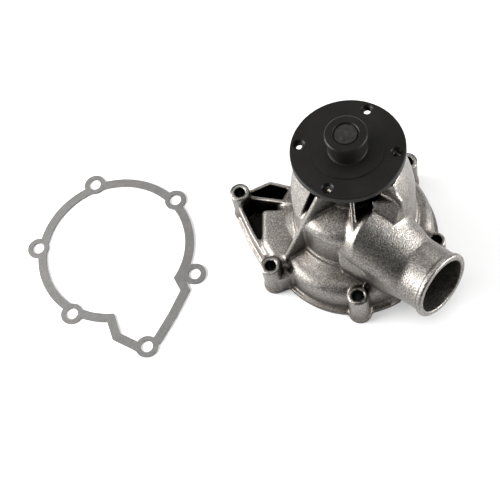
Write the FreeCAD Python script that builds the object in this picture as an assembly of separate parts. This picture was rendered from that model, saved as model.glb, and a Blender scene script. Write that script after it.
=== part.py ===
import FreeCAD, Part
import math
import os

# Automotive coolant pump, millimetres.
# Shapes are drawn with the mounting face at z = 0, the shaft on the z axis and the hub at the top.
# save() then moves all of them so that the origin is under the middle of the whole object.

V = FreeCAD.Vector

# driving dimensions
FLANGE_R = 37.5           # hub flange
FLANGE_TOP = 120.0
FLANGE_T = 5.0
HUB_HOLE_PCR = 31.6       # pitch radius of the four tapped holes
HUB_HOLE_ANGLES = (77.0, 257.0, 2.5, 182.5)
M6_CORE_R = 2.5
NOSE_TOP = 137.5
NOSE_R = 13.9
SHAFT_R = 7.95
BEARING_R = 15.0
BEARING_Z0 = 64.0
BEARING_Z1 = 103.0
LUG_TOP = 30.0
LUG_R = 7.3
LUG_HOLE_R = 4.2          # M8, fine clearance
LUGS = {
    "A": (-87.7, 6.4),
    "B": (-52.2, -48.5),
    "C": (12.9, -61.5),
    "D": (58.4, -11.3),
    "E": (28.8, 49.0),
    "F": (-35.7, 45.9),
}
VOLUTE_C = (-2.0, -4.0)   # centre of the lower chamber
LIP_R = 61.0
LIP_T = 3.5
VOLUTE_R = 57.5
CHAMBER_R = 42.5          # upper chamber about the shaft
WALL = 4.5
FRONT_FROM = -140.0       # sector in which the tower is cut down to the low front roof
FRONT_TO = -25.0
LEFT_RIB_TOP = (-18.0, -24.4, 94.5)
LEFT_RIB_FOOT = (-45.6, -41.0, 24.5)
NECK_AZ = -30.2
NECK_EL = 8.0
NECK_END = (69.0, -50.2, 39.5)
NECK_LEN = 62.0
NECK_R = 22.9
RAMP_LEFT = 4.0           # the neck's upper root, beside and above its axis
RAMP_UP = 25.0
BEAD_R = 24.3
NECK_BORE = 20.0
IMPELLER_R = 36.0
ROOF_ROLL = 6.5           # rolled shoulder of the wing's roof
GASKET_T = 0.8
GASKET_AT = (-184.3, -40.3)
GASKET_TURN = 128.8
ROW_SHIFT = V(83.94, 31.88, 0)

os.makedirs("parts", exist_ok=True)


def save(shape, name):
    shape.translate(ROW_SHIFT)
    shape.exportStep("parts/" + name + ".step")


def cyl(r, z0, z1, c=(0.0, 0.0)):
    return Part.makeCylinder(r, z1 - z0, V(c[0], c[1], z0))


def tube(r_out, r_in, z0, z1, c=(0.0, 0.0)):
    return cyl(r_out, z0, z1, c).cut(cyl(r_in, z0 - 1, z1 + 1, c))


def prism(points, z0, z1):
    pts = [V(x, y, z0) for x, y in points]
    face = Part.Face(Part.makePolygon(pts + [pts[0]]))
    return face.extrude(V(0, 0, z1 - z0))


def turned(points, c=(0.0, 0.0)):
    """Solid of revolution from (r, z) points; a 2-tuple of points inside the list is an arc (via, end)."""
    edges = []
    last = V(points[0][0], 0, points[0][1])
    first = last
    for p in points[1:]:
        if isinstance(p[0], tuple):
            via = V(p[0][0], 0, p[0][1])
            end = V(p[1][0], 0, p[1][1])
            edges.append(Part.Arc(last, via, end).toShape())
        else:
            end = V(p[0], 0, p[1])
            edges.append(Part.makeLine(last, end))
        last = end
    if last.distanceToPoint(first) > 1e-6:
        edges.append(Part.makeLine(last, first))
    solid = Part.Face(Part.Wire(edges)).revolve(V(0, 0, 0), V(0, 0, 1), 360)
    solid.translate(V(c[0], c[1], 0))
    return solid


def radial_plate(points, angle, thickness):
    """Flat plate in the vertical plane through the shaft axis at the given angle, from (r, z) points."""
    pts = [V(r, -thickness / 2, z) for r, z in points]
    plate = Part.Face(Part.makePolygon(pts + [pts[0]])).extrude(V(0, thickness, 0))
    plate.rotate(V(0, 0, 0), V(0, 0, 1), angle)
    return plate


def sector(a0, a1, z0, z1, r=90.0):
    wedge = Part.makeCylinder(r, z1 - z0, V(0, 0, z0), V(0, 0, 1), a1 - a0)
    wedge.rotate(V(0, 0, 0), V(0, 0, 1), a0)
    return wedge


def ring_of(solid, count, start=0.0):
    out = []
    for i in range(count):
        s = solid.copy()
        s.rotate(V(0, 0, 0), V(0, 0, 1), start + 360.0 * i / count)
        out.append(s)
    return out


def polar(r, deg):
    return (r * math.cos(math.radians(deg)), r * math.sin(math.radians(deg)))


def wing_outline(inset):
    """Outline of the side wing between lugs A and B and its upper corner, moved inwards by inset."""
    base = [(-93.0, 12.0), (-90.5, -3.6), (-77.4, -22.4), (-62.5, -40.5),
            (-30.0, -40.0), (-30.0, 25.0), (-53.0, 25.0), (-70.5, 27.0), (-84.5, 17.0)]
    if inset == 0:
        return base
    pts = [V(x, y, 0) for x, y in base]
    wire = Part.makePolygon(pts + [pts[0]])
    moved = wire.makeOffset2D(-inset, 2)
    return [(v.X, v.Y) for v in moved.OrderedVertexes]


# ---------------------------------------------------------------- housing
def lower_chamber(shrink, top_shrink):
    """Rounded lower chamber; shrink gives the inner cavity of the same form."""
    r = VOLUTE_R - shrink
    t = top_shrink
    return turned([(0, 0), (r, 0), (r, 18 - t), ((r - 2.6, 24.6 - t), (r - 9, 28 - t)),
                   (r - 17, 32 - t), (0, 32 - t)], VOLUTE_C)


def tower_skin(inset):
    """Upper chamber and tower as one turned body, made smaller by inset for the hollow."""
    r = CHAMBER_R - inset
    return turned([(0, 26), (r, 26), (r, 68), ((r - 1.9, 82), (r - 8.5, 103.5)), (0, 103.5)])


def front_low():
    """Low rounded roof of the upper chamber in front, running up to the bearing boss."""
    r = CHAMBER_R
    return turned([(0, 26), (r, 26), (r, 62), ((r - 2.6, 69.4), (r - 9, 73)), (20, 78), (0, 78)])


def neck_axis():
    az = math.radians(NECK_AZ)
    el = math.radians(NECK_EL)
    return V(math.cos(az) * math.cos(el), math.sin(az) * math.cos(el), math.sin(el))


def neck_section(back, radius, left=0.0, up=0.0):
    """Circle across the neck, set back from its end and shifted sideways and upwards."""
    d = neck_axis()
    az = math.radians(NECK_AZ)
    centre = V(*NECK_END) - d * back + V(math.sin(az), -math.cos(az), 0) * left + V(0, 0, up)
    return Part.Wire(Part.makeCircle(radius, centre, d))


def neck_solid():
    d = neck_axis()
    end = V(*NECK_END)
    straight = Part.makeCylinder(NECK_R, 20, end - d * 20, d)
    middle = Part.makeLoft([neck_section(34, NECK_R + 1.8, 1.0, 0.6), neck_section(20, NECK_R)], True)
    root = Part.makeLoft([neck_section(64, 28.5, 4.5, 11.5), neck_section(34, NECK_R + 1.8, 1.0, 0.6)], True)
    ramp_sections = [neck_section(68, 25.5, RAMP_LEFT, RAMP_UP - 4), neck_section(54, 25.5, RAMP_LEFT, RAMP_UP),
                     neck_section(20, NECK_R - 0.3)]
    ramp = Part.makeLoft(ramp_sections, True, True)
    bead = Part.makeCylinder(BEAD_R, 4.4, end - d * 4.4, d)
    bead = bead.makeFillet(1.4, [e for e in bead.Edges if isinstance(e.Curve, Part.Circle)])
    return straight.multiFuse([middle, root, ramp, bead])


def neck_bore():
    d = neck_axis()
    root = V(*NECK_END) - d * (NECK_LEN + 6)
    return Part.makeCylinder(NECK_BORE, NECK_LEN + 12, root, d)


def sloped(outline, x0, z0, x1, z1):
    """Prism from z = 0 whose top runs straight from height z0 at x0 to z1 at x1."""
    block = prism(outline, 0, max(z0, z1) + 1)
    side = Part.makePolygon([V(x0, -90, -1), V(x0, -90, z0), V(x1, -90, z1), V(x1, -90, -1), V(x0, -90, -1)])
    return block.common(Part.Face(side).extrude(V(0, 180, 0)))


def slab_beyond(p1, p2, p3, outward):
    """Large slab on the outward side of the plane through three points."""
    normal = (p2 - p1).cross(p3 - p1)
    normal.normalize()
    if normal.dot(outward) < 0:
        normal = normal * -1
    slab = Part.makeBox(200, 200, 60, p1, normal)
    centre = slab.CenterOfMass
    slab.translate(((centre - p1) - normal * (centre - p1).dot(normal)) * -1)
    return slab


def upright_edges(solid, at):
    """The solid's vertical edges that stand at a point."""
    box = [e.BoundBox for e in solid.Edges]
    return [e for e, b in zip(solid.Edges, box)
            if b.XLength < 0.01 and b.YLength < 0.01 and math.dist((b.XMin, b.YMin), at) < 0.1]


def wing():
    plate = prism(wing_outline(0), 0, LIP_T)
    wall = prism(wing_outline(3.0), 0, 21).cut(prism(wing_outline(5.8), LIP_T, 22))
    roof = sloped([(-70.5, -2.0), (-30, -2.0), (-30, -46), (-53, -44), (-64.0, -30.0)], -71, 23, -42, 30)
    roof = roof.makeFillet(9.0, upright_edges(roof, (-64.0, -30.0)) + upright_edges(roof, (-53.0, -44.0)))
    rolled = [e for e in roof.Edges if e.BoundBox.ZMin > 20 and e.CenterOfMass.x < -42.5 and e.CenterOfMass.y < -3]
    roof = roof.makeFillet(ROOF_ROLL, rolled)
    rib = sloped([(-82, 8.8), (-38, 4.6), (-38, 1.8), (-82, 6.0)], -82, 23, -38, 31)
    return [plate, wall, roof, rib]


def wing_hollow():
    return prism([(-67.0, -5.5), (-30, -5.5), (-30, -41), (-52, -39.5), (-61.5, -28)], -1, 18.5)


def lug_bodies():
    out = []
    for key, (x, y) in LUGS.items():
        out.append(cyl(LUG_R, 0, LUG_TOP, (x, y)))
        out.append(cyl(LUG_R + 1.0, 0, LIP_T, (x, y)))
    bx, by = LUGS["B"]
    out.append(prism([(bx - 5.5, by + 3), (bx + 6, by - 6), (bx + 22, by + 4), (bx + 2, by + 22)], 0, 20))
    return out


def left_rib():
    """Tall straight rib from the bearing boss down to the roof beside lug B."""
    top = V(*LEFT_RIB_TOP)
    foot = V(*LEFT_RIB_FOOT)
    flat = V(foot.x - top.x, foot.y - top.y, 0)
    flat.normalize()
    side = V(-flat.y, flat.x, 0)
    inner = top - flat * 14
    pts = [V(inner.x, inner.y, 40), V(inner.x, inner.y, top.z), top, foot, V(foot.x, foot.y, 12), V(top.x, top.y, 12)]
    pts = [p - side * 1.6 for p in pts]
    return Part.Face(Part.makePolygon(pts + [pts[0]])).extrude(side * 3.2)


def housing():
    skin = tower_skin(0)
    pocket = tower_skin(4.6).common(tube(60, 20.5, 77.5, 110)).common(sector(FRONT_TO, 170, 70, 110))
    skin = skin.cut(pocket)
    skin = skin.cut(sector(FRONT_FROM, FRONT_TO, 60, 120))
    shoulder = tower_skin(0).common(sector(-48, FRONT_TO, 60, 88)).cut(cyl(26, 76, 110))
    shoulder = shoulder.cut(slab_beyond(V(21.8, -18.6, 88), V(25.8, -23.6, 78), V(37, -16.2, 88), V(0, -1, 0)))
    # the tower is planed off from its left side down to the edge of the left rib
    skin = skin.cut(slab_beyond(V(*LEFT_RIB_TOP), V(*LEFT_RIB_FOOT), V(*polar(40.5, -172), 82),
                                V(*polar(1, -150), 0)).common(sector(-215, -130, 32, 120)))

    solids = [
        lower_chamber(0, 0),
        cyl(LIP_R, 0, LIP_T, VOLUTE_C),
        skin,
        front_low(),
        tube(CHAMBER_R + 1.6, CHAMBER_R - 3, 28, 35.5),
        cyl(20.5, 60, 106),
        shoulder,
        left_rib(),
        radial_plate([(18, 70), (18, 104), (30, 104), (41.5, 91), (41.5, 70)], -25, 2.6),
        radial_plate([(18, 70), (18, 91), (22, 90), (40.6, 73.5), (41.5, 69), (38, 65)], -77, 2.8),
        neck_solid(),
    ]
    for a in (35, 95, 160):
        solids.append(radial_plate([(18, 70), (18, 103.5), (34, 103.5), (38, 84), (38, 70)], a, 4.0))
    body = solids[0].multiFuse(solids[1:] + wing() + lug_bodies())

    # hollows: volute, suction chamber with the neck bore, seal and bearing bores
    neck_wall = neck_solid().cut(cyl(CHAMBER_R, -5, 27))
    body = body.cut(lower_chamber(WALL, 5).cut(cyl(30, 20, 40)).cut(neck_wall))
    body = body.cut(wing_hollow())
    chamber = cyl(CHAMBER_R - WALL, 32, 68).cut(cyl(18.5, 46, 80))
    body = body.cut(chamber)
    body = body.cut(neck_bore().cut(cyl(18.5, 46, 80)).cut(cyl(CHAMBER_R + 3.5, -5, 32)))
    body = body.cut(cyl(24, 18, 33))
    body = body.cut(cyl(BEARING_R, BEARING_Z0, 107))
    body = body.cut(cyl(13.0, 40, 70))
    # weep hole from the gap between seal and bearing to the pocket behind the flange
    start = V(*polar(10, 62), 59)
    stop = V(*polar(34, 62), 84)
    body = body.cut(Part.makeCylinder(1.8, (stop - start).Length, start, stop - start))
    for x, y in LUGS.values():
        body = body.cut(cyl(LUG_HOLE_R, -1, LUG_TOP + 1, (x, y)))
    return body.removeSplitter()


# ---------------------------------------------------------------- rotor
def hub_flange():
    r = FLANGE_R
    top = FLANGE_TOP
    body = turned([(SHAFT_R, 107.5), (12.5, 107.5), (14, 109), (14, top - FLANGE_T), (r - 0.5, top - FLANGE_T),
                   (r, top - FLANGE_T + 0.5), (r, top - 0.5), (r - 0.5, top), (23.2, top), (23.0, top + 0.8),
                   (13.5, top + 0.8), ((12.8, top + 1.1), (12.5, top + 1.8)), (12.5, NOSE_TOP - 4),
                   (NOSE_R, NOSE_TOP - 3.2), (NOSE_R, NOSE_TOP - 0.8), (NOSE_R - 0.8, NOSE_TOP),
                   (SHAFT_R + 0.8, NOSE_TOP), (SHAFT_R, NOSE_TOP - 0.8)])
    for a in HUB_HOLE_ANGLES:
        c = polar(HUB_HOLE_PCR, a)
        body = body.cut(cyl(M6_CORE_R, top - 10, top + 2, c))
        body = body.cut(Part.makeCone(M6_CORE_R, M6_CORE_R + 1.6, 1.6, V(c[0], c[1], top - 1.6)))
    return body


def pump_shaft():
    groove = turned([(12, BALL_Z - 4), (12, BALL_Z + 4), (SHAFT_R + 1, BALL_Z + 4), (SHAFT_R + 1, BALL_Z - 4)])
    body = turned([(0, 4), (SHAFT_R - 0.6, 4), (SHAFT_R, 4.6), (SHAFT_R, NOSE_TOP - 1.2),
                   (SHAFT_R - 0.8, NOSE_TOP - 0.4), (0, NOSE_TOP - 0.4)])
    race = Part.makeTorus(BALL_PITCH, BALL_R + 0.03, V(0, 0, BALL_Z))
    return body.cut(race).cut(groove)


# ---------------------------------------------------------------- bearing
BALL_Z = 94.0
BALL_R = 2.98
BALL_PITCH = 10.6
ROLLER_Z = 74.0
ROLLER_R = 2.48
ROLLER_PITCH = 10.47
ROLLER_L = 9.0
RING_IN_R = 13.0


def bearing_outer_ring():
    body = tube(BEARING_R, RING_IN_R, BEARING_Z0 + 0.5, BEARING_Z1)
    return body.cut(Part.makeTorus(BALL_PITCH, BALL_R + 0.03, V(0, 0, BALL_Z)))


def balls():
    ball = Part.makeSphere(BALL_R, V(BALL_PITCH, 0, BALL_Z))
    return Part.makeCompound(ring_of(ball, 8))


def ball_cage():
    body = tube(11.9, 9.3, BALL_Z - 4.0, BALL_Z + 4.0)
    drill = Part.makeCylinder(BALL_R + 0.08, 8, V(7, 0, BALL_Z), V(1, 0, 0))
    for pocket in ring_of(drill, 8):
        body = body.cut(pocket)
    return body


def rollers():
    roller = Part.makeCylinder(ROLLER_R, ROLLER_L, V(ROLLER_PITCH, 0, ROLLER_Z - ROLLER_L / 2))
    return Part.makeCompound(ring_of(roller, 10))


def roller_cage():
    body = tube(11.5, 9.4, ROLLER_Z - 6.5, ROLLER_Z + 6.5)
    slot = Part.makeCylinder(ROLLER_R + 0.08, ROLLER_L + 0.2, V(ROLLER_PITCH, 0, ROLLER_Z - ROLLER_L / 2 - 0.1))
    for pocket in ring_of(slot, 10):
        body = body.cut(pocket)
    return body


def lip_seal(z0, z1):
    up = 1 if z1 > z0 else -1
    return turned([(RING_IN_R, z0), (RING_IN_R, z1), (9.0, z1), (SHAFT_R + 0.05, z1 - 0.3 * up),
                   (SHAFT_R + 0.05, z1 - 0.9 * up), (9.2, z1 - 1.2 * up), (12.0, z1 - 1.2 * up), (12.0, z0)])


# ---------------------------------------------------------------- shaft seal and impeller
SEAL_Z0 = 40.0


def slinger():
    return turned([(SHAFT_R, 60.6), (11.6, 61.2), (11.6, 62.2), (9.8, 62.4), (9.8, 63.4), (SHAFT_R, 63.4)])


def seal_cup():
    cup = tube(13.0, 12.2, 46.5, 58.0)
    floor = tube(13.0, 9.0, 57.2, 58.0)
    collar = tube(15.5, 12.2, 45.2, 46.0)
    return cup.multiFuse([floor, collar, tube(13.0, 12.2, 45.2, 46.6)]).removeSplitter()


def seal_bellows():
    return turned([(8.6, 57.2), (12.2, 57.2), (12.2, 55.8), (9.8, 55.8), (9.8, 53.0), (10.8, 52.2), (10.8, 51.4),
                   (9.8, 50.6), (9.8, 48.6), (12.0, 48.6), (12.0, 47.4), (8.6, 47.4)])


def seal_spring():
    """Wave spring: flat rings joined crest to crest."""
    levels = (48.8, 50.5, 52.2, 53.9, 55.3)
    rings = [tube(12.0, 11.0, z, z + 0.5) for z in levels]
    crests = []
    for i, z in enumerate(levels[:-1]):
        crest = tube(12.0, 11.0, z + 0.2, levels[i + 1] + 0.2).common(sector(0, 16, z, z + 3))
        crests += ring_of(crest, 3, 60.0 * (i % 2))
    return rings[0].multiFuse(rings[1:] + crests).removeSplitter()


def seal_carrier():
    return tube(12.0, 11.2, 42.6, 47.4).fuse(tube(12.0, 8.6, 46.6, 47.4)).removeSplitter()


def carbon_ring():
    return tube(11.2, 8.6, 42.4, 46.6).fuse(tube(10.6, 8.8, 41.0, 42.4)).removeSplitter()


def counter_ring():
    return tube(12.4, 8.9, 37.0, 40.95)


def counter_ring_boot():
    return tube(14.0, 12.4, 35.4, 40.0).fuse(tube(14.0, SHAFT_R, 35.4, 37.0)).fuse(
        tube(8.9, SHAFT_R, 36.0, 40.2)).removeSplitter()


def impeller_insert():
    return tube(11.0, SHAFT_R, 5.0, 35.4)


def impeller():
    plate = turned([(11.0, 3.0), (IMPELLER_R, 3.0), (IMPELLER_R, 6.0), (16, 7.0), (15.0, 10.0), (15.0, 33.0),
                    (11.0, 33.0)])
    vane = prism([(13.5, -1.6), (35.0, -14.0), (35.6, -11.0), (24, -3.4), (13.5, 1.6)], 5.0, 18.0)
    body = plate
    for v in ring_of(vane, 6):
        body = body.fuse(v)
    return body.common(cyl(IMPELLER_R, 0, 40)).cut(cyl(11.0, 0, 40)).removeSplitter()


# ---------------------------------------------------------------- gasket
def gasket():
    body = cyl(LIP_R - 0.3, 0, GASKET_T, VOLUTE_C).fuse(prism(wing_outline(0.3), 0, GASKET_T))
    for x, y in LUGS.values():
        body = body.fuse(cyl(8.4, 0, GASKET_T, (x, y)))
    body = body.removeSplitter()
    inner = cyl(LIP_R - 7.0, -1, 2, VOLUTE_C).fuse(prism(wing_outline(7.0), -1, 2))
    for x, y in LUGS.values():
        inner = inner.cut(cyl(8.2, -2, 3, (x, y)))
        body = body.cut(cyl(4.5, -1, 2, (x, y)))
    body = body.cut(inner.removeSplitter())
    body.rotate(V(0, 0, 0), V(0, 0, 1), GASKET_TURN)
    body.translate(V(GASKET_AT[0], GASKET_AT[1], 0))
    return body


save(housing(), "housing")
save(hub_flange(), "hub_flange")
save(pump_shaft(), "pump_shaft")
save(bearing_outer_ring(), "bearing_outer_ring")
save(balls(), "bearing_balls")
save(ball_cage(), "ball_cage")
save(rollers(), "bearing_rollers")
save(roller_cage(), "roller_cage")
save(lip_seal(BEARING_Z1 - 3.0, BEARING_Z1 - 0.3), "bearing_seal_front")
save(lip_seal(BEARING_Z0 + 3.4, BEARING_Z0 + 0.8), "bearing_seal_rear")
save(slinger(), "slinger")
save(seal_cup(), "seal_cup")
save(seal_bellows(), "seal_bellows")
save(seal_spring(), "seal_spring")
save(seal_carrier(), "seal_carrier")
save(carbon_ring(), "carbon_ring")
save(counter_ring(), "counter_ring")
save(counter_ring_boot(), "counter_ring_boot")
save(impeller_insert(), "impeller_insert")
save(impeller(), "impeller")
save(gasket(), "mounting_gasket")
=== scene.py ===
import math

import bmesh
import bpy
from mathutils import Matrix, Vector

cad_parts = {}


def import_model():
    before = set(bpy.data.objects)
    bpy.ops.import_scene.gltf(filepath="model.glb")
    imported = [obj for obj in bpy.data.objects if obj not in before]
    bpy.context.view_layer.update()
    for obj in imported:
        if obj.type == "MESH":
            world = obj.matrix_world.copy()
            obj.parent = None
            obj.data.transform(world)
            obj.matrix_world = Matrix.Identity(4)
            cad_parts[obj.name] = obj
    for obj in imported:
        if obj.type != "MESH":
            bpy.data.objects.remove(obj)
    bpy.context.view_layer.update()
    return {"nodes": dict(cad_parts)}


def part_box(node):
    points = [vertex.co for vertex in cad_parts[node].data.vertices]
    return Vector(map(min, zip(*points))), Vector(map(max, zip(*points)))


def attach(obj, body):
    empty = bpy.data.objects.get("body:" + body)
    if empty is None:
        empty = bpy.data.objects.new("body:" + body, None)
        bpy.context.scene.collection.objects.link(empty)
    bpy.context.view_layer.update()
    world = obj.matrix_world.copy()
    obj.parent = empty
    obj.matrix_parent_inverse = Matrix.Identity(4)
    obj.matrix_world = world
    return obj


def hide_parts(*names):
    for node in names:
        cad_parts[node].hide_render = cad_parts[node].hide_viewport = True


MM = 0.001

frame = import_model()
nodes = frame["nodes"]
scene = bpy.context.scene

# The pump's shaft stands at AXIS in the frame. Places below given in millimetres are measured from there.
shaft_low, shaft_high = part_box("pump_shaft")
AXIS = Vector(((shaft_low.x + shaft_high.x) / 2, (shaft_low.y + shaft_high.y) / 2, 0))

# camera: where it stands and the point it looks at, in metres from the pump's axis; its roll in degrees
CAMERA_AT = AXIS + Vector((0.10609, -0.35589, 0.71049))
CAMERA_TARGET = AXIS + Vector((-0.06946, -0.03873, 0.03))
CAMERA_ROLL = -18.06
CAMERA_LENS = 77.79

# places that the cast housing's finish needs
LUGS = ((-87.7, 6.4), (-52.2, -48.5), (12.9, -61.5), (58.4, -11.3), (28.8, 49.0), (-35.7, 45.9))
LUG_R = 7.3
LUG_HOLE_R = 4.2
LUG_TOP = 30.0
HOUSING_FACES = 180000

# how the casting is made from the CAD solid, in millimetres
VOXEL = 0.5
FILLET = 1.2
FOOT_DEPTH = 2.5          # the base is carried this far below the floor and then cut flat
LUG_TUBE_DEPTH = 4
LUG_TUBE_RISE = 1.2       # the lug tubes stand proud by this and are then cut flat
MERGE = 0.08

# the stretch of the neck that is blended, as distances back from its end and out from its axis
NECK_BACK = (6, 44)
NECK_OUT = (21.4, 38)
NECK_PASSES = 90
NECK_END = Vector((69.0, -50.2, 39.5))
NECK_AZIMUTH = math.radians(-30.2)
NECK_RISE = math.radians(8.0)


# ---------------------------------------------------------------- mesh helpers
def new_object(name, mesh):
    obj = bpy.data.objects.new(name, mesh)
    scene.collection.objects.link(obj)
    return obj


def bake_modifiers(obj):
    """Applies the object's modifiers to its own mesh."""
    graph = bpy.context.evaluated_depsgraph_get()
    mesh = bpy.data.meshes.new_from_object(obj.evaluated_get(graph))
    obj.modifiers.clear()
    old = obj.data
    obj.data = mesh
    bpy.data.meshes.remove(old)


def add_modifier(obj, kind, **values):
    modifier = obj.modifiers.new(kind.lower(), kind)
    for key, value in values.items():
        setattr(modifier, key, value)


def join_tube(bm, centre, radius, bore, z0, z1, sides=64):
    """Adds a closed upright tube to a bmesh, sizes in millimetres."""
    def ring(r, z):
        out = []
        for i in range(sides):
            a = 2 * math.pi * i / sides
            x = centre[0] + r * math.cos(a)
            y = centre[1] + r * math.sin(a)
            out.append(bm.verts.new((x * MM, y * MM, z * MM)))
        return out
    outer = (ring(radius, z0), ring(radius, z1))
    inner = (ring(bore, z0), ring(bore, z1))
    for i in range(sides):
        j = (i + 1) % sides
        bm.faces.new((outer[0][i], outer[0][j], outer[1][j], outer[1][i]))
        bm.faces.new((inner[0][j], inner[0][i], inner[1][i], inner[1][j]))
        bm.faces.new((outer[1][i], outer[1][j], inner[1][j], inner[1][i]))
        bm.faces.new((outer[0][j], outer[0][i], inner[0][i], inner[0][j]))


# ---------------------------------------------------------------- cast housing
def blend_neck(bm):
    """Smooths the neck's outside, so that its tapered root runs into the straight end without a crease."""
    level = math.cos(NECK_RISE)
    way = Vector((level * math.cos(NECK_AZIMUTH), level * math.sin(NECK_AZIMUTH), math.sin(NECK_RISE)))
    skin = []
    for v in bm.verts:
        from_end = v.co / MM - NECK_END
        back = -from_end.dot(way)
        out = (from_end + way * back).length
        if NECK_BACK[0] < back < NECK_BACK[1] and NECK_OUT[0] < out < NECK_OUT[1]:
            skin.append(v)
    for _ in range(NECK_PASSES):
        bmesh.ops.smooth_vert(bm, verts=skin, factor=0.5, use_axis_x=True, use_axis_y=True, use_axis_z=True)


def cast_housing():
    """The housing as a casting: the CAD solid with rolled edges and fillets, and crisp machined faces."""
    bm = bmesh.new()
    bm.from_mesh(nodes["housing"].data)
    bmesh.ops.translate(bm, verts=bm.verts, vec=-AXIS)
    for v in bm.verts:
        if v.co.z < 0.01 * MM:
            v.co.z = -FOOT_DEPTH * MM
    for c in LUGS:
        join_tube(bm, c, LUG_R, LUG_HOLE_R, LUG_TOP - LUG_TUBE_DEPTH, LUG_TOP + LUG_TUBE_RISE)
    mesh = bpy.data.meshes.new("cast_housing")
    bm.to_mesh(mesh)
    bm.free()
    obj = new_object("cast_housing", mesh)
    voxel = VOXEL * MM
    # swelling closes the inner corners and shrinking back leaves them as fillets
    add_modifier(obj, "REMESH", mode="VOXEL", voxel_size=voxel)
    add_modifier(obj, "DISPLACE", strength=FILLET * MM, mid_level=0.0)
    add_modifier(obj, "REMESH", mode="VOXEL", voxel_size=voxel)
    add_modifier(obj, "DISPLACE", strength=-FILLET * MM, mid_level=0.0)
    add_modifier(obj, "REMESH", mode="VOXEL", voxel_size=voxel)
    add_modifier(obj, "SMOOTH", factor=0.5, iterations=4)
    bake_modifiers(obj)
    # machined faces: mounting face and lug tops
    lug_centres = [Vector((x * MM, y * MM)) for x, y in LUGS]
    for v in obj.data.vertices:
        if v.co.z < 0:
            v.co.z = 0
        elif v.co.z > LUG_TOP * MM:
            for c in lug_centres:
                if (v.co.xy - c).length < (LUG_R + 0.3) * MM:
                    v.co.z = LUG_TOP * MM
                    break
    bm = bmesh.new()
    bm.from_mesh(obj.data)
    bmesh.ops.remove_doubles(bm, verts=bm.verts, dist=MERGE * MM)
    blend_neck(bm)
    bmesh.ops.translate(bm, verts=bm.verts, vec=AXIS)
    bm.to_mesh(obj.data)
    bm.free()
    obj.data.calc_loop_triangles()
    add_modifier(obj, "DECIMATE", ratio=min(1.0, HOUSING_FACES / len(obj.data.loop_triangles)))
    bake_modifiers(obj)
    for v in obj.data.vertices:
        v.co.z = max(v.co.z, 0.0)
    return obj


# ---------------------------------------------------------------- materials
class Nodes:
    """Short hand for a material's node tree."""

    def __init__(self, name):
        self.mat = bpy.data.materials.new(name)
        self.mat.use_nodes = True
        self.tree = self.mat.node_tree
        self.shader = self.tree.nodes["Principled BSDF"]
        self.coords = self.tree.nodes.new("ShaderNodeTexCoord")

    def add(self, kind, **values):
        node = self.tree.nodes.new("ShaderNode" + kind)
        for key, value in values.items():
            setattr(node, key, value)
        return node

    def link(self, a, b):
        self.tree.links.new(a, b)

    def noise(self, scale, detail=2.0, rough=0.5):
        n = self.add("TexNoise")
        n.inputs["Scale"].default_value = scale
        n.inputs["Detail"].default_value = detail
        n.inputs["Roughness"].default_value = rough
        self.link(self.coords.outputs["Object"], n.inputs["Vector"])
        return n.outputs["Fac"]

    def ramp(self, fac, stops):
        r = self.add("ValToRGB")
        r.color_ramp.elements[0].position = stops[0][0]
        r.color_ramp.elements[1].position = stops[-1][0]
        for pos, _ in stops[1:-1]:
            r.color_ramp.elements.new(pos)
        for e, (_, value) in zip(r.color_ramp.elements, stops):
            e.color = (value, value, value, 1) if isinstance(value, float) else (*value, 1)
        self.link(fac, r.inputs["Fac"])
        return r.outputs["Color"]

    def mix(self, fac, a, b, blend="MIX"):
        m = self.add("MixRGB", blend_type=blend)
        for socket, value in (("Fac", fac), ("Color1", a), ("Color2", b)):
            if isinstance(value, (float, int)):
                m.inputs[socket].default_value = value
            elif isinstance(value, tuple):
                m.inputs[socket].default_value = (*value, 1)
            else:
                self.link(value, m.inputs[socket])
        return m.outputs["Color"]

    def bump(self, height, strength, distance):
        b = self.add("Bump")
        b.inputs["Strength"].default_value = strength
        b.inputs["Distance"].default_value = distance
        self.link(height, b.inputs["Height"])
        self.link(b.outputs["Normal"], self.shader.inputs["Normal"])

    def set(self, **values):
        for key, value in values.items():
            self.shader.inputs[key.replace("_", " ")].default_value = value


def cast_aluminium():
    """Shot-blasted die casting: sparkling grain, uneven skin, and painted shade that darkens its pockets.
    """
    n = Nodes("cast_aluminium")
    grain = n.noise(1000, 2.0, 0.7)
    fine = n.noise(2300, 1.0, 0.5)
    patch = n.noise(45, 4.0, 0.6)
    colour = n.ramp(patch, [(0.3, (0.42, 0.39, 0.36)), (0.7, (0.55, 0.525, 0.49))])
    speck = n.ramp(grain, [(0.32, 0.2), (0.5, 0.42), (0.68, 0.8)])
    colour = n.mix(1.0, colour, speck, "MULTIPLY")
    # painted shade: ambient occlusion darkens the base colour in the pockets, almost to black in the
    # deepest, standing in for studio shade and a little dirt
    painted_shade_ao = n.add("AmbientOcclusion", samples=6)
    painted_shade_ao.inputs["Distance"].default_value = 24 * MM
    shade = n.ramp(painted_shade_ao.outputs["AO"], [
        (0.2, (0.01, 0.009, 0.008)),
        (0.5, (0.26, 0.238, 0.22)),
        (0.72, (0.66, 0.625, 0.595)),
        (0.95, (1.0, 1.0, 1.0)),
    ])
    n.link(n.mix(1.0, colour, shade, "MULTIPLY"), n.shader.inputs["Base Color"])
    n.link(n.ramp(fine, [(0.3, 0.46), (0.7, 0.32)]), n.shader.inputs["Roughness"])
    n.set(Metallic=1.0)
    n.bump(grain, 0.8, 0.35 * MM)
    return n.mat


def black_oxide():
    n = Nodes("black_oxide_steel")
    fine = n.noise(900, 3.0, 0.6)
    broad = n.noise(45, 3.0, 0.5)
    colour = n.ramp(broad, [(0.3, (0.006, 0.0055, 0.005)), (0.7, (0.011, 0.01, 0.009))])
    n.link(colour, n.shader.inputs["Base Color"])
    n.set(Specular_IOR_Level=0.12)
    n.link(n.ramp(fine, [(0.3, 0.38), (0.7, 0.5)]), n.shader.inputs["Roughness"])
    n.set(Metallic=0.0)
    n.bump(fine, 0.1, 0.05 * MM)
    return n.mat


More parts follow.
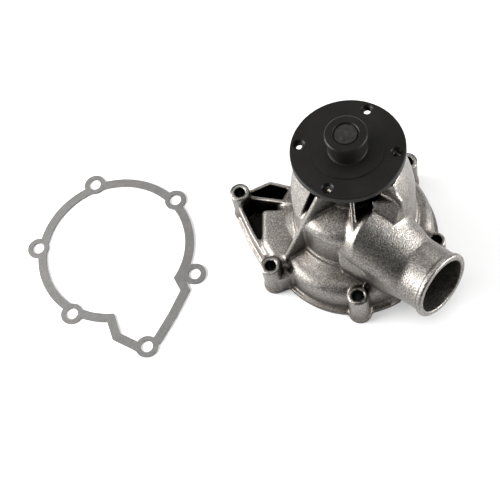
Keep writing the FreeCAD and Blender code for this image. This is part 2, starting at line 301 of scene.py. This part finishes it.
def plain_metal(name, dark, light, rough, metallic=1.0, scale=400):
    n = Nodes(name)
    fine = n.noise(scale, 3.0, 0.6)
    n.link(n.ramp(fine, [(0.3, dark), (0.7, light)]), n.shader.inputs["Base Color"])
    n.link(n.ramp(fine, [(0.3, rough * 0.85), (0.7, rough * 1.15)]), n.shader.inputs["Roughness"])
    n.set(Metallic=metallic)
    n.bump(fine, 0.15, 0.05 * MM)
    return n.mat


def paper():
    n = Nodes("gasket_paper")
    fibre = n.noise(700, 5.0, 0.7)
    cloud = n.noise(70, 3.0, 0.5)
    colour = n.ramp(fibre, [(0.3, (0.065, 0.063, 0.06)), (0.7, (0.15, 0.146, 0.139))])
    n.link(n.mix(0.25, colour, n.ramp(cloud, [(0.3, 0.085), (0.7, 0.135)])), n.shader.inputs["Base Color"])
    n.set(Roughness=0.85)
    n.bump(fibre, 0.35, 0.1 * MM)
    return n.mat


def use(obj, mat):
    obj.data.materials.clear()
    obj.data.materials.append(mat)


# ---------------------------------------------------------------- the object
housing = cast_housing()
use(housing, cast_aluminium())
for p in housing.data.polygons:
    p.use_smooth = True
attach(housing, "pump")
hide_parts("housing")

black = black_oxide()
steel = plain_metal("ground_steel", (0.45, 0.45, 0.45), (0.6, 0.6, 0.6), 0.25)
dark_steel = plain_metal("shaft_end_steel", (0.018, 0.017, 0.016), (0.04, 0.038, 0.036), 0.4, 0.7)
rubber = plain_metal("seal_rubber", (0.012, 0.012, 0.012), (0.02, 0.02, 0.02), 0.6, 0.0)
plastic = plain_metal("cage_plastic", (0.05, 0.04, 0.02), (0.08, 0.06, 0.03), 0.45, 0.0)
brass = plain_metal("seal_brass", (0.6, 0.42, 0.18), (0.75, 0.55, 0.28), 0.3)
carbon = plain_metal("carbon", (0.02, 0.02, 0.022), (0.035, 0.035, 0.038), 0.35, 0.0)
ceramic = plain_metal("ceramic", (0.7, 0.69, 0.66), (0.8, 0.79, 0.76), 0.3, 0.0)
iron = plain_metal("cast_iron", (0.1, 0.1, 0.1), (0.2, 0.195, 0.19), 0.6, 0.8, 900)
gasket_paper = paper()
FINISHES = {
    "hub_flange": black,
    "pump_shaft": dark_steel,
    "bearing_outer_ring": steel,
    "bearing_balls": steel,
    "ball_cage": plastic,
    "bearing_rollers": steel,
    "roller_cage": plastic,
    "bearing_seal_front": rubber,
    "bearing_seal_rear": rubber,
    "slinger": steel,
    "seal_cup": brass,
    "seal_bellows": rubber,
    "seal_spring": steel,
    "seal_carrier": brass,
    "carbon_ring": carbon,
    "counter_ring": ceramic,
    "counter_ring_boot": rubber,
    "impeller_insert": steel,
    "impeller": iron,
    "mounting_gasket": gasket_paper,
}
for name, mat in FINISHES.items():
    use(nodes[name], mat)


# ---------------------------------------------------------------- studio
def camera():
    data = bpy.data.cameras.new("camera")
    data.sensor_width = 36.0
    data.lens = CAMERA_LENS
    obj = bpy.data.objects.new("camera", data)
    scene.collection.objects.link(obj)
    look = (CAMERA_TARGET - CAMERA_AT).to_track_quat("-Z", "Y").to_matrix().to_4x4()
    roll = Matrix.Rotation(math.radians(CAMERA_ROLL), 4, "Z")
    obj.matrix_world = Matrix.Translation(CAMERA_AT) @ look @ roll
    data.clip_start = 0.01
    data.clip_end = 50
    scene.camera = obj


def area(name, at, target, size, power):
    data = bpy.data.lights.new(name, "AREA")
    data.shape = "RECTANGLE"
    data.size, data.size_y = size
    data.energy = power
    obj = bpy.data.objects.new(name, data)
    scene.collection.objects.link(obj)
    obj.location = at
    obj.rotation_euler = (target - at).to_track_quat("-Z", "Y").to_euler()


def floor():
    mesh = bpy.data.meshes.new("floor")
    s = 4.0
    mesh.from_pydata([(-s, -s, 0), (s, -s, 0), (s, s, 0), (-s, s, 0)], [], [(0, 1, 2, 3)])
    obj = new_object("floor", mesh)
    obj.location.z = -0.0002
    n = Nodes("floor")
    n.set(Base_Color=(0.75, 0.75, 0.75, 1), Roughness=0.9)
    n.set(Emission_Color=(1, 1, 1, 1), Emission_Strength=0.08)
    use(obj, n.mat)


def world():
    w = bpy.data.worlds.new("studio")
    scene.world = w
    w.use_nodes = True
    back = w.node_tree.nodes["Background"]
    back.inputs["Color"].default_value = (1, 1, 1, 1)
    back.inputs["Strength"].default_value = 0.08


camera()
floor()
world()


def studio_light(name, azimuth, elevation, distance, size, power):
    """A soft box round the pump: azimuth from the frame's +X, elevation from the floor, both in degrees."""
    az, el = math.radians(azimuth), math.radians(elevation)
    way = Vector((math.cos(el) * math.cos(az), math.cos(el) * math.sin(az), math.sin(el)))
    target = AXIS + Vector((0, 0, 40 * MM))
    area(name, target + way * distance, target, size, power)


studio_light("back_box", 90, 35, 0.8, (0.9, 0.35), 3.2)
studio_light("upper_left_box", 180, 55, 0.8, (0.4, 0.4), 1.8)
studio_light("top_box", 0, 90, 0.8, (0.6, 0.6), 2.3)
studio_light("left_box", 196, 18, 0.8, (0.6, 0.25), 15)
studio_light("right_box", 6, 10, 0.8, (0.5, 0.2), 12.5)
scene.view_settings.view_transform = "Standard"
